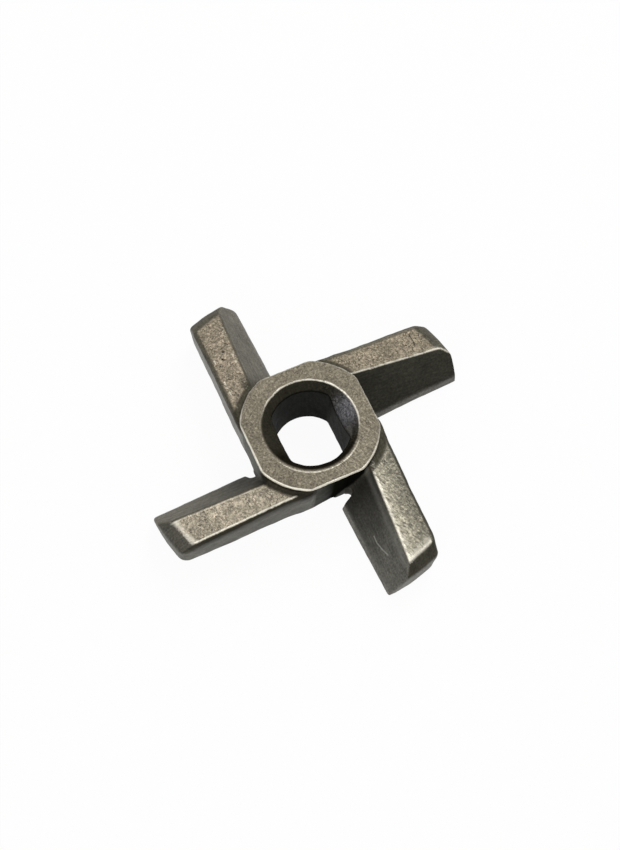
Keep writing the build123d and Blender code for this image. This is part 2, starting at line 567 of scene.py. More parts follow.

# %% [markdown]
# ## Tones of the arms
# Beside the trailing edge and the tip of a top runs a darker band: painted shade on the rounded
# edge.
# Its width differs from arm to arm. Slopes change their tone along the arm and two tops darken
# across it, as painted shade and painted reflection. Bands of colour on a flat top are cheaper than
# shapes, and these are too thin to be seen from the side.

# %% Which face a corner belongs to, and its tone
EDGE_SHADE_WIDTH = per_arm(1.3, 1.15, 0.8, 0.9)
EDGE_SHADE_DEPTH = per_arm((1.1, 0.7), (1.1, 0.7), (5.5, 0.8), (1.1, 0.7))
END_SHADE_WIDTH = per_arm(0.9, 0.35, 0.2, 0.1)
END_WEAR_AND_GLINT = per_arm(0.9, 0.15, 0.15, 0.15)
TOP_SHADE_FALL = per_arm(0.0, 0.0, 0.1, 0.42)
FAR_AWAY = 99.0


def blend(base, colour, share):
    """Base tones with a share of another colour."""
    return base + (colour - base) * share[:, None]


def shares(distances, softness=0.09):
    """How much of each face a corner belongs to, from its distances."""
    stack = np.stack(distances)
    weight = np.exp((stack - stack.max(0)) / softness)
    return weight / weight.sum(0)


def past(value, limit, softness=0.2):
    """Softly 1 where a value is above a limit."""
    return step_up(value, limit - softness, limit + softness)


x, y, z = corners.T
hub = hub_faces(x, y, z)
hub_solid = np.maximum(hub["hub_wall"], hub["hub_top"])
colour = np.zeros((len(corners), 3))
wear = np.zeros(len(corners))
cast = np.zeros(len(corners))
along_arm = np.zeros((len(corners), 3))
arm_places = [arm_frame(x, y, number) for number in range(len(ARM_NAMES))]
arm_solids = []
for name, (u, v) in zip(ARM_NAMES, arm_places):
    arm_solids.append(np.where(u > ROOT[name] - 0.2, arm_shape(u, v, z, name), FAR_AWAY))
nearest = np.argmin(arm_solids, axis=0)
arm_distance = np.min(arm_solids, axis=0)

for number, name in enumerate(ARM_NAMES):
    u, v = arm_places[number]
    face = arm_faces(u, v, z, name)
    slope_start, slope_end = SLOPE_TONES[name]
    # A top darkens across the arm, towards its trailing side, as painted shade.
    tones = {
        "top": TOP_TONES[name] * (1 - TOP_SHADE_FALL[name] * step_up(v, 10.5, 16.5))[:, None],
        "slope": slope_start + (slope_end - slope_start) * step_up(u, 18, 44)[:, None],
        "lip": LIP_STEEL,
        "wall": WALL_TONES[name],
        "tip": TIP_TONES[name],
        "chamfer": CHAMFER_TONES[name],
    }
    share = dict(zip(tones, shares([face[key] for key in tones])))
    own = sum(share[key][:, None] * tones[key] for key in tones)
    # Painted shade on the rounded trailing edge and at the end of the top
    edge_shade = past(face["wall"], -EDGE_SHADE_WIDTH[name])
    edge_shade = edge_shade * step_up(face["top"], -EDGE_SHADE_DEPTH[name][0], -EDGE_SHADE_DEPTH[name][1])
    end_shade = past(face["chamfer"], -END_SHADE_WIDTH[name]) * (face["slope"] < -0.5)
    own = blend(own, EDGE_SHADE_TONES[name], edge_shade)
    own = blend(own, CHAMFER_TONES[name], end_shade)
    # Bright corner at the end of a top: real wear with a painted highlight.
    end_edge = bell(face["chamfer"] - face["slope"], 0.1, 0.35) * END_WEAR_AND_GLINT[name]
    end_edge = end_edge * step_up(face["top"], -3.5, -1.0) * step_up(-face["top"], 0.3, 0.6)
    end_edge = end_edge * step_up(face["slope"], -1.2, -0.6)
    mine = nearest == number
    colour[mine] = own[mine]
    wear[mine] = end_edge[mine]
    cast[mine] = (share["top"] * (1 - edge_shade))[mine]
    along_arm[mine] = np.stack([u * MM, v * MM, np.full(len(u), number)], 1)[mine]
print("corners nearest to each arm:", np.bincount(nearest))

# %% [markdown]
# ## Tones of the hub
# The raised ring is cast like the arms' tops and its walls are darker. The hollow at its foot is
# darkest, with painted shade. The flat that faces away from the lamp is painted black as shade, and
# so are the flanks of the relief cuts.

# %% Ring, walls and hollows of the hub
ring = shares([hub["hub_top"], hub["hub_wall"]])[0]
wall_tone = np.tile(HUB_WALL, (len(corners), 1))
side_wall = step_up(np.abs(y), 12.0, 16.5) * step_up(y, 0, 1)
wall_tone = blend(wall_tone, TIP_STEEL, side_wall)
hub_tone = wall_tone + (HUB_RING - wall_tone) * ring[:, None]
on_hub = step_up(arm_distance - hub_solid, -0.1, 0.5)
colour = blend(colour, hub_tone, on_hub)

# Painted shade in the hollow at the hub's foot, on the tops and on one slope
foot_reach = np.where(nearest % 2 == 1, 0.5, 0.0)
foot = step_up(foot_reach - hub["hub_wall"], -2.1, -1.2)
foot = foot * step_up(z, 11, 13) * (1 - ring) * (z < 16.6)
near_arm = step_up(-arm_distance, -2.4, -1.8)
slope_foot_shade = bell(y, 18.0, 2.8) * (y > 16.0)
slope_foot_shade = slope_foot_shade * step_up(-x, 0.0, 5.0) * (1 - step_up(-x, 11.0, 13.0))
colour = blend(colour, HOLLOW_SHADE, 0.9 * slope_foot_shade * (1 - ring))
foot_shade_tone = np.where((nearest == 2)[:, None], SHADE, HOLLOW_SHADE)
colour = blend(colour, foot_shade_tone, 0.95 * foot * near_arm)
# Painted shade on the flanks of the relief cuts
for name, (u, v) in zip(ARM_NAMES, arm_places):
    relief_flank_shade = step_up(-np.abs(relief_shape(u, v, z, name)), -0.4, -0.05)
    relief_flank_shade = relief_flank_shade * step_up(v, -0.2, 0.8) * step_up(u, 15.5, 16.5)
    colour = blend(colour, SHADE, 0.85 * relief_flank_shade * (1 - on_hub))
# The flat facing the viewer is painted black as shade, less so towards the left.
front_wall_shade = np.interp(x, (-10, -5, -1, 3), (0.0, 0.55, 0.9, 1.0))
front_wall_shade = front_wall_shade * step_up(-y, 14.5, 16.0) * (x < 21)
off_arm = step_up(arm_distance - hub_solid, -0.3, 0.6)
colour = blend(colour, BLACK_SHADE, front_wall_shade * off_arm * (1 - ring))
cast = cast * (1 - foot)
cast = cast * (1 - on_hub) + 0.7 * on_hub * ring
wear = wear * (1 - on_hub)
print("share of corners on the hub:", round(float(on_hub.mean()), 3))

# %% [markdown]
# ## Tones of the hole
# The cone of the countersink is a little lighter than the bore, whose near-black tone is partly the
# bore's own dark steel and partly painted shade inside the hole. On its right the cone has a bluish
# patch, a painted reflection of cool light on smooth steel, and its front is darkened with painted
# shade. The edge between the two is painted nearly black, as shade in the crease.

# %% Cone and bore
hole = np.minimum(hub["bore"], hub["sink"])
in_hole = step_up(-hole - hub["hub_top"], -0.25, 0.15) * (np.hypot(x, y) < 13.4)
on_cone = step_up(hub["bore"] - hub["sink"], -0.1, 0.15)
cone_tone = np.tile(CONE_STEEL, (len(corners), 1))
cone_tone = blend(cone_tone, CONE_REFLECTION_BLUE, step_up(x, 7, 10) * bell(y, 0.2, 3.8))
cone_tone = blend(cone_tone, CONE_FRONT_SHADE, step_up(-y - 0.3 * x, 3, 9))
hole_tone = BORE_STEEL + (cone_tone - BORE_STEEL) * on_cone[:, None]
cone_crease_shade = bell(hub["bore"] - hub["sink"], -0.1, 0.2) * (z > 12)
hole_tone = blend(hole_tone, BLACK_SHADE, 0.8 * cone_crease_shade)
colour = blend(colour, hole_tone, in_hole)
cast = cast * (1 - in_hole) + in_hole * on_cone * step_up(x, 5, 9)
print("worn share:", round(float(wear.mean()), 3), "cast share:", round(float(cast.mean()), 3))

# %% [markdown]
# ## Build the mesh and close its underside
# The open rim of the lowest layer is filled with one flat face, cut into triangles. Its rim stays
# sharp, because the knife runs on this face and is ground there.

# %% Mesh with its tones
def add_attribute(mesh, name, kind, values):
    """Stores one value for each corner of the mesh."""
    attribute = mesh.attributes.new(name, kind, "POINT")
    key = {"FLOAT_COLOR": "color", "FLOAT_VECTOR": "vector"}.get(kind, "value")
    attribute.data.foreach_set(key, np.asarray(values, dtype=np.float32).ravel())


mesh = bpy.data.meshes.new("knife_surface")
mesh.from_pydata((corners * MM).tolist(), [], quads.tolist())
add_attribute(mesh, "tone", "FLOAT_COLOR", np.hstack([colour, np.ones((len(colour), 1))]))
add_attribute(mesh, "wear", "FLOAT", wear)
add_attribute(mesh, "cast", "FLOAT", cast)
add_attribute(mesh, "along", "FLOAT_VECTOR", along_arm)
mesh.shade_smooth()

work = bmesh.new()
work.from_mesh(mesh)
rim = [edge for edge in work.edges if edge.is_boundary]
filled = bmesh.ops.triangle_fill(work, edges=rim, use_beauty=True)
for edge in rim:
    edge.smooth = False
floor_faces = [item for item in filled["geom"] if isinstance(item, bmesh.types.BMFace)]
for item in floor_faces:
    item.smooth = False
bmesh.ops.recalc_face_normals(work, faces=work.faces)
open_edges = sum(1 for edge in work.edges if not edge.is_manifold)
work.to_mesh(mesh)
work.free()
print("underside triangles:", len(floor_faces), "open edges:", open_edges)

# %% [markdown]
# ## The steel
# One finish covers the knife, as on the real casting, and the stored tones steer it. Cast faces
# get wrinkles, ground faces get fine streaks along the arm, and worn edges, with their painted
# highlights, break up into bright specks. Separate materials would show a seam at each ridge.
# Written out link by link, a material of this size is hard to read, so a few small functions stand
# for the nodes it is made of.

# %% Functions that add nodes
def add_node(tree, kind, **settings):
    """Adds a node and sets its inputs by name or number, and its other settings by name."""
    node = tree.nodes.new(kind)
    for key, value in settings.items():
        if key == "inputs":
            for socket, content in value.items():
                if isinstance(content, bpy.types.NodeSocket):
                    tree.links.new(content, node.inputs[socket])
                else:
                    node.inputs[socket].default_value = content
        else:
            setattr(node, key, value)
    return node


def arithmetic(tree, operation, a, b=0.5, clamp=False):
    """One sum of two values."""
    node = add_node(
        tree, "ShaderNodeMath", operation=operation, use_clamp=clamp, inputs={0: a, 1: b}
    )
    return node.outputs[0]


def grain(tree, vector, scale, detail, distortion=0.0, roughness=0.55):
    """Noise of a given fineness, from 0 to 1."""
    node = add_node(
        tree,
        "ShaderNodeTexNoise",
        inputs={
            "Vector": vector,
            "Scale": scale,
            "Detail": detail,
            "Distortion": distortion,
            "Roughness": roughness,
        },
    )
    return node.outputs[0]


def ramp(tree, value, low, high, to_low=0.0, to_high=1.0):
    """Stretches a value between two limits."""
    node = add_node(
        tree,
        "ShaderNodeMapRange",
        clamp=True,
        inputs={0: value, 1: low, 2: high, 3: to_low, 4: to_high},
    )
    return node.outputs[0]


def hat(tree, value, middle, width):
    """1 at the middle and softly down to 0 at the given distance."""
    offset = arithmetic(tree, "ABSOLUTE", arithmetic(tree, "SUBTRACT", value, middle))
    node = add_node(
        tree,
        "ShaderNodeMapRange",
        interpolation_type="SMOOTHSTEP",
        inputs={0: offset, 1: 0.0, 2: width, 3: 1.0, 4: 0.0},
    )
    return node.outputs[0]


print("functions:", [made.__name__ for made in (add_node, arithmetic, grain, ramp, hat)])

# %% [markdown]
# ## Sums and colours
# The rest of the material is sums: noises multiplied together, lines added up, one colour mixed
# into another. These functions chain the nodes for that, so that a line of the script reads like
# the sum it makes.

# %% Functions for sums and colours
def product(tree, *factors):
    """Product of several values."""
    result = factors[0]
    for factor in factors[1:]:
        result = arithmetic(tree, "MULTIPLY", result, factor)
    return result


def plus(tree, *terms):
    """Sum of several values."""
    result = terms[0]
    for term in terms[1:]:
        result = arithmetic(tree, "ADD", result, term)
    return result


def minus(tree, a, b):
    """Difference of two values."""
    return arithmetic(tree, "SUBTRACT", a, b)


def less(tree, amount):
    """What is left of 1."""
    return minus(tree, 1.0, amount)


def mix_value(tree, share, a, b):
    """Mixes two values."""
    node = add_node(tree, "ShaderNodeMix", data_type="FLOAT", inputs={0: share, 2: a, 3: b})
    return node.outputs[0]


def mix_colour(tree, share, a, b, blend_type="MIX"):
    """Mixes two colours."""
    node = add_node(
        tree,
        "ShaderNodeMix",
        data_type="RGBA",
        blend_type=blend_type,
        inputs={0: share, 6: a, 7: b},
    )
    return node.outputs[2]


def lit(tree, base, light):
    """A colour made lighter or darker by a value around 1."""
    grey = add_node(tree, "ShaderNodeCombineColor", inputs={0: light, 1: light, 2: light})
    return mix_colour(tree, 1.0, base, grey.outputs[0], "MULTIPLY")


def paint(red, green, blue):
    """A node's colour, from an everyday 0 to 255 colour."""
    return (*tone(red, green, blue), 1.0)


print("example colour:", [round(float(part), 3) for part in paint(246, 240, 224)])

# %% [markdown]
# ## The material and what the mesh tells it
# The mesh carries four values in each corner: its tone, painted light and shade included, how worn
# it is, with a painted highlight at the ends of the tops, how much of the cast skin it has, and its
# place along and across its arm. The material reads them by name.

# %% Material and stored values
steel = bpy.data.materials.new("cast_steel")
steel.use_nodes = True
nodes = steel.node_tree
nodes.nodes.clear()
where = add_node(nodes, "ShaderNodeTexCoord").outputs["Object"]
stored = {
    name: add_node(nodes, "ShaderNodeAttribute", attribute_name=name).outputs
    for name in ("tone", "wear", "cast", "along")
}
cast_share = stored["cast"]["Fac"]
wear_share = stored["wear"]["Fac"]
arm_place = stored["along"]["Vector"]
along = add_node(nodes, "ShaderNodeSeparateXYZ", inputs={0: arm_place}).outputs
place_xyz = add_node(nodes, "ShaderNodeSeparateXYZ", inputs={0: where}).outputs
print("stored on the mesh:", list(stored))

# %% [markdown]
# ## Grain of the casting and of the grinding
# Cast skin is noise of several sizes: wide patches, blotches, wrinkles and fine specks. Grinding
# leaves long fine streaks, so that noise is stretched along the arm. An image would give the same,
# but it would blur close up and show a seam where it repeats.

# %% Noises of the steel
wrinkles = grain(nodes, where, 800.0, 6.0, 0.5, 0.66)
blotches = grain(nodes, where, 380.0, 4.0, 0.4, 0.6)
specks = grain(nodes, where, 1700.0, 3.0)
patches = grain(nodes, where, 150.0, 3.0)
folds = grain(nodes, where, 470.0, 3.0, 0.9)
fine_folds = grain(nodes, where, 1150.0, 2.0, 0.4)


def stretched_grain(turn, scale, distortion):
    """Noise that follows each arm, turned and then stretched."""
    turned = add_node(
        nodes,
        "ShaderNodeVectorRotate",
        rotation_type="Z_AXIS",
        inputs={"Vector": arm_place, "Angle": math.radians(turn)},
    ).outputs[0]
    mapping = add_node(nodes, "ShaderNodeMapping", inputs={"Vector": turned, "Scale": scale})
    return grain(nodes, mapping.outputs[0], 1.0, 3.0, distortion)


streaks = stretched_grain(0.0, (220.0, 2600.0, 3.7), 0.6)
ripples = stretched_grain(-28.0, (560.0, 1900.0, 5.3), 0.5)
scrapes = stretched_grain(68.0, (700.0, 2500.0, 7.3), 1.6)
print("nodes so far:", len(nodes.nodes))

# %% [markdown]
# ## Light and dark of the skin
# The noises make the stored tone lighter and darker. Creases are thin lines where a noise passes
# its middle value, which is how folds in a casting run. One arm's skin is rippled and not creased,
# so it has a noise of its own.

# %% Skin and ground faces
def is_arm(tree, number):
    """1 on one arm and 0 on the others."""
    node = add_node(
        tree, "ShaderNodeMath", operation="COMPARE", inputs={0: along[2], 1: number, 2: 0.3}
    )
    return node.outputs[0]


on_right, on_back, on_left, on_front = [is_arm(nodes, float(i)) for i in range(4)]
off_front = less(nodes, on_front)
arm_top = ramp(nodes, place_xyz[2], 0.0158, 0.0155)
cast_grain = mix_value(nodes, on_front, wrinkles, ripples)
creases = hat(nodes, folds, 0.5, 0.034)
creases = product(nodes, creases, ramp(nodes, wrinkles, 0.4, 0.55), off_front)
fine_creases = hat(nodes, fine_folds, 0.5, 0.045)
fine_creases = product(nodes, fine_creases, ramp(nodes, blotches, 0.4, 0.6))
strokes = hat(nodes, scrapes, 0.5, 0.05)
strokes = product(nodes, strokes, ramp(nodes, blotches, 0.42, 0.56), off_front, arm_top)
cast_light = product(
    nodes,
    ramp(nodes, cast_grain, 0.36, 0.64, 0.64, 1.44),
    ramp(nodes, specks, 0.34, 0.66, 0.62, 1.44),
    ramp(nodes, blotches, 0.36, 0.64, 0.84, 1.16),
    less(nodes, product(nodes, creases, 0.75)),
    less(nodes, product(nodes, fine_creases, 0.65)),
    less(nodes, product(nodes, strokes, 0.6)),
)
smooth_light = product(
    nodes,
    ramp(nodes, streaks, 0.3, 0.7, 0.76, 1.24),
    ramp(nodes, specks, 0.34, 0.66, 0.72, 1.28),
)
skin_light = mix_value(nodes, cast_share, smooth_light, cast_light)
skin_light = product(nodes, skin_light, ramp(nodes, patches, 0.3, 0.7, 0.86, 1.14))
shaded = lit(nodes, stored["tone"]["Color"], skin_light)
print("nodes so far:", len(nodes.nodes))

# %% [markdown]
# ## Worn edges and marks
# A worn ridge, bright with wear and a painted highlight, is a line only a third of a millimetre
# wide, finer than the mesh. It is drawn in the material instead, by the distance from the ridge, so
# it stays crisp at any mesh size.

# %% Distances that the lines are drawn by
WALL_AT_TOP = 17.5


def in_mm(tree, value):
    """Metres to millimetres."""
    return arithmetic(tree, "MULTIPLY", value, 1000.0)


def flat_length(tree, a, b):
    """Length of a two-part vector."""
    pair = add_node(tree, "ShaderNodeCombineXYZ", inputs={0: a, 1: b}).outputs[0]
    node = add_node(tree, "ShaderNodeVectorMath", operation="LENGTH", inputs={0: pair})
    return node.outputs["Value"]


wobble = minus(nodes, product(nodes, blotches, 1.3), 0.65)
rim_wobble = product(nodes, wobble, 0.35)
untilted = plus(nodes, along[1], product(nodes, along[0], RIDGE_SLOPE))
from_ridge = minus(nodes, in_mm(nodes, untilted), RIDGE_OFFSET + RIDGE_SLOPE * FLAT)
from_ridge = plus(nodes, from_ridge, product(nodes, wobble, 0.25))
from_wall = minus(nodes, in_mm(nodes, along[1]), WALL_AT_TOP)
arm_reach = in_mm(nodes, flat_length(nodes, along[0], along[1]))
hub_reach = flat_length(nodes, place_xyz[0], place_xyz[1])
sideways = [arithmetic(nodes, "ABSOLUTE", place_xyz[i]) for i in range(2)]
wider = arithmetic(nodes, "MAXIMUM", *sideways)
from_round = minus(nodes, in_mm(nodes, hub_reach), HUB_RADIUS)
from_flat = minus(nodes, in_mm(nodes, wider), FLAT)
from_outer = plus(nodes, arithmetic(nodes, "MAXIMUM", from_round, from_flat), rim_wobble)
from_inner = plus(nodes, minus(nodes, in_mm(nodes, hub_reach), CONE_RADIUS), rim_wobble)

# Where each kind of line may show
above_lip = ramp(nodes, place_xyz[2], 0.0085, 0.0095)
before_tip = ramp(nodes, arm_reach, 45.3, 45.0)
arms_only = product(nodes, above_lip, before_tip, arm_top)
on_top = ramp(nodes, place_xyz[2], 0.0163, 0.0166)
on_top_side = ramp(nodes, from_ridge, 0.0, 0.3)
past_cove = ramp(nodes, arm_reach, 20.5, 23.0)
off_hub = ramp(nodes, arm_reach, 19.8, 21.0)
print("nodes so far:", len(nodes.nodes))

# %% [markdown]
# ## Bright lines
# Wear is not even: the ridge of one arm is rubbed along its whole length, another only here and
# there. Each bright line is worn steel with a painted highlight on top, strongest where the edge
# would catch the light. Each line is a soft hat over the distance from its edge, broken up by a
# noise and given its own strength.

# %% Bright lines on the ridges, the walls and the ends
ragged = product(nodes, ramp(nodes, patches, 0.46, 0.58), ramp(nodes, wrinkles, 0.42, 0.55))
faint_breaks = ramp(nodes, blotches, 0.35, 0.6, 0.2, 0.6)
strong_breaks = ramp(nodes, blotches, 0.35, 0.6, 0.3, 1.0)
ripple_breaks = ramp(nodes, ripples, 0.35, 0.6)
before_end = ramp(nodes, arm_reach, 44.8, 43.8)
ridge_lines = plus(
    nodes,
    product(nodes, on_right, hat(nodes, from_ridge, 0.1, 0.4), 0.85),
    product(nodes, on_right, hat(nodes, from_ridge, 0.5, 1.0), 0.12),
    product(nodes, on_back, hat(nodes, from_ridge, 1.0, 0.8), ragged, 0.4),
    product(nodes, on_left, hat(nodes, from_ridge, 0.5, 0.4), faint_breaks, past_cove),
    product(nodes, on_front, hat(nodes, from_ridge, 0.5, 0.65), before_end, past_cove, 0.75),
    product(nodes, on_front, hat(nodes, from_ridge, 0.6, 2.2), on_top_side, ripple_breaks, 0.45),
)
left_wall_fade = ramp(nodes, arm_reach, 44.2, 43.0, 0.0, 1.1)
wall_lines = plus(
    nodes,
    product(nodes, on_left, hat(nodes, from_wall, -0.98, 0.5), left_wall_fade, off_hub),
    product(nodes, on_back, hat(nodes, from_wall, -1.75, 0.6), ragged, 0.7),
)
left_end_fade = ramp(nodes, from_wall, -7.5, -2.0, 0.6, 0.9)
end_lines = plus(
    nodes,
    product(nodes, on_left, hat(nodes, arm_reach, 43.7, 1.4), left_end_fade),
    product(nodes, on_front, hat(nodes, arm_reach, 44.2, 0.8), strong_breaks),
    product(nodes, on_front, hat(nodes, arm_reach, 43.4, 1.9), 0.4),
)
between_edges = product(
    nodes, ramp(nodes, from_ridge, 0.0, 0.4), ramp(nodes, from_wall, -0.8, -1.2)
)
end_lines = product(nodes, end_lines, between_edges)
arm_lines = product(nodes, arms_only, plus(nodes, ridge_lines, wall_lines, end_lines))
print("nodes so far:", len(nodes.nodes))

# %% [markdown]
# ## Bright rims of the hub
# The outer rim is worn bright, and a painted highlight makes it brightest on the side that faces
# the viewer. The rim of the countersink gets its painted highlight on the far side, where it would
# catch the light. So each rim's strength follows the direction around the hub.

# %% Rims of the hub, and all the wear together
def towards(tree, degrees, low, high, least, most=1.3):
    """Strongest on the side of a direction around the hub, and weakest away from it."""
    turn = math.radians(degrees)
    aim = add_node(
        tree,
        "ShaderNodeVectorMath",
        operation="DOT_PRODUCT",
        inputs={0: where, 1: (math.cos(turn), math.sin(turn), 0.0)},
    ).outputs["Value"]
    return ramp(tree, arithmetic(tree, "DIVIDE", aim, hub_reach), low, high, least, most)


near_side = towards(nodes, -122, -0.1, 0.55, 0.5, 1.6)
far_side = towards(nodes, 58, -0.1, 0.6, 0.1)
south_side = towards(nodes, -100, 0.35, 0.8, 0.0, 0.65)
rim_highlights = plus(
    nodes,
    product(nodes, hat(nodes, from_outer, -0.14, 0.5), near_side),
    product(nodes, hat(nodes, from_inner, 0.16, 0.42), far_side, 0.75),
    product(nodes, hat(nodes, from_inner, 0.75, 0.4), south_side),
)
rubbed = product(
    nodes, ramp(nodes, blotches, 0.36, 0.6, 0.0, 0.5), ramp(nodes, specks, 0.35, 0.6)
)
# Worn edges and their painted highlights together
worn = plus(nodes, wear_share, arm_lines, product(nodes, on_top, rim_highlights))
worn = arithmetic(nodes, "SUBTRACT", worn, rubbed, clamp=True)
print("nodes so far:", len(nodes.nodes))

# %% [markdown]
# ## Dark and pale bands beside the edges
# Next to a bright edge the skin is darkened with painted shade, which makes the edge look sharper.
# One slope has a pale band of painted highlight under its ridge instead, where light would fall on
# the rounding.

# %% Bands beside the edges
shade_beside_edges = plus(
    nodes,
    product(nodes, on_back, hat(nodes, from_ridge, 0.1, 0.55), 0.6),
    product(nodes, on_left, hat(nodes, from_ridge, -0.1, 0.5), 0.6),
    product(nodes, on_left, hat(nodes, from_wall, -0.4, 0.7), 0.5),
)
cone_side = towards(nodes, -122, 0.0, 0.5, 0.0, 0.45)
cone_shade = product(nodes, on_top, hat(nodes, from_inner, 0.0, 0.5), cone_side)
edge_and_cone_shade = plus(nodes, product(nodes, shade_beside_edges, arms_only), cone_shade)
ridge_highlight_band = product(nodes, on_front, hat(nodes, from_ridge, -1.0, 0.9), arms_only, 0.2)
shaded = mix_colour(nodes, edge_and_cone_shade, shaded, paint(62, 59, 48))
shaded = mix_colour(nodes, ridge_highlight_band, shaded, paint(150, 148, 140))
print("nodes so far:", len(nodes.nodes))

# %% [markdown]
# ## Scratches and pits
# A handful of marks stand out: a crack across one top, two scratches, two pits and a pale
# scratch on a slope. Each is drawn by the distance from a short row of points, given along and
# across its arm in millimetres. A pit is a row with almost no length.

# %% Marks
DARK_MARKS = (
    (0, ((37.79, 15.33), (37.99, 13.19), (37.8, 11.89)), 0.3, 0.85),
    (1, ((21.56, 16.58), (19.04, 14.97), (15.15, 13.37)), 0.24, 0.6),
    (1, ((35.29, 12.08), (32.56, 10.2)), 0.2, 0.6),
    (1, ((31.02, 12.35), (31.04, 12.35)), 0.55, 1.2),
    (1, ((28.81, 13.42), (28.83, 13.42)), 0.55, 1.2),
)
PALE_MARK = ((32.36, 4.34), (34.39, 4.27), (36.53, 4.67), (38.84, 5.25))


def mark(tree, number, points, width):
    """1 along a line through points on an arm, given in millimetres, and 0 beside it."""
    result = 0.0
    for start, end in zip(points, points[1:]):
        a = Vector((start[0] * MM, start[1] * MM, number))
        step = Vector((end[0] * MM, end[1] * MM, number)) - a
        off = add_node(
            tree,
            "ShaderNodeVectorMath",
            operation="SUBTRACT",
            inputs={0: arm_place, 1: a},
        ).outputs[0]
        share = add_node(
            tree,
            "ShaderNodeVectorMath",
            operation="DOT_PRODUCT",
            inputs={0: off, 1: step / step.length_squared},
        ).outputs["Value"]
        share = arithmetic(tree, "ADD", share, 0.0, clamp=True)
        touch = add_node(
            tree, "ShaderNodeVectorMath", operation="SCALE", inputs={0: step, "Scale": share}
        ).outputs[0]
        gap = add_node(
            tree, "ShaderNodeVectorMath", operation="DISTANCE", inputs={0: off, 1: touch}
        ).outputs["Value"]
        line = hat(tree, in_mm(tree, gap), 0.0, width)
        result = arithmetic(tree, "MAXIMUM", result, line)
    return result


dark_marks = plus(nodes, *(
    product(nodes, mark(nodes, number, points, width), strength)
    for number, points, width, strength in DARK_MARKS
))
dark_marks = arithmetic(nodes, "MULTIPLY", dark_marks, arms_only, clamp=True)
off_rim = ramp(nodes, place_xyz[2], 0.002, 0.003)
pale_mark = product(nodes, mark(nodes, 3, PALE_MARK, 0.2), off_rim, 0.4)
shaded = mix_colour(nodes, pale_mark, shaded, paint(190, 188, 180))
shaded = mix_colour(nodes, worn, shaded, paint(246, 240, 224))
shaded = mix_colour(nodes, dark_marks, shaded, paint(24, 21, 14))
print("marks:", len(DARK_MARKS) + 1)

# %% [markdown]
# ## The ground cutting face
# The face that runs on the hole plate is ground in circles about the axis. A noise of one number,
# the distance from the axis, gives rings, and it shows only within a hair of the lowest plane.

# %% Cutting face
ring_place = add_node(nodes, "ShaderNodeCombineXYZ", inputs={0: hub_reach}).outputs[0]
ring_light = ramp(nodes, grain(nodes, ring_place, 2600.0, 3.0), 0.3, 0.7, 0.85, 1.15)
ground_tone = lit(nodes, (*UNDERSIDE, 1.0), ring_light)
on_underside = ramp(nodes, place_xyz[2], 0.00008, 0.00004)
final_colour = mix_colour(nodes, on_underside, shaded, ground_tone)
print("nodes so far:", len(nodes.nodes))

# %% [markdown]
# ## Relief, roughness and the surface
# The finest grain is too small for the mesh, so it is left to a bump, which only bends the light.
# Dark places, painted shade among them, hardly shine, so that they stay dark. Worn and highlighted
# edges are a little smoother than the rest.

# %% Relief, roughness and the surface
cast_height = product(nodes, plus(nodes, cast_grain, product(nodes, blotches, 0.6)), cast_share)
cast_height = minus(nodes, cast_height, product(nodes, creases, cast_share, 0.25))
fine_height = plus(nodes, product(nodes, streaks, 0.12), product(nodes, specks, 0.1))
height = plus(nodes, cast_height, fine_height)
bump = add_node(
    nodes, "ShaderNodeBump", inputs={"Strength": 0.8, "Distance": 0.0004, "Height": height}
).outputs[0]
roughness = ramp(nodes, wrinkles, 0.3, 0.7, 0.5, 0.62)
roughness = minus(nodes, roughness, product(nodes, worn, 0.12))
gloss = ramp(nodes, stored["tone"]["Fac"], 0.008, 0.08)
surface = add_node(
    nodes,
    "ShaderNodeBsdfPrincipled",
    inputs={
        "Base Color": final_colour,
        "Metallic": product(nodes, gloss, 0.5),
        "Specular IOR Level": product(nodes, gloss, 0.2),
        "Roughness": roughness,
        "Normal": bump,
    },
)
add_node(nodes, "ShaderNodeOutputMaterial", inputs={"Surface": surface.outputs[0]})
print("steel nodes:", len(nodes.nodes))

# %% [markdown]
# ## The cast skin
# Sand and scale leave a casting pitted. The skin follows the surface, so Geometry Nodes lay it on:
# each corner moves along its own normal by a noise, and only where the stored cast share says
# that the face was never ground. A displacement in the material would be lost on export.

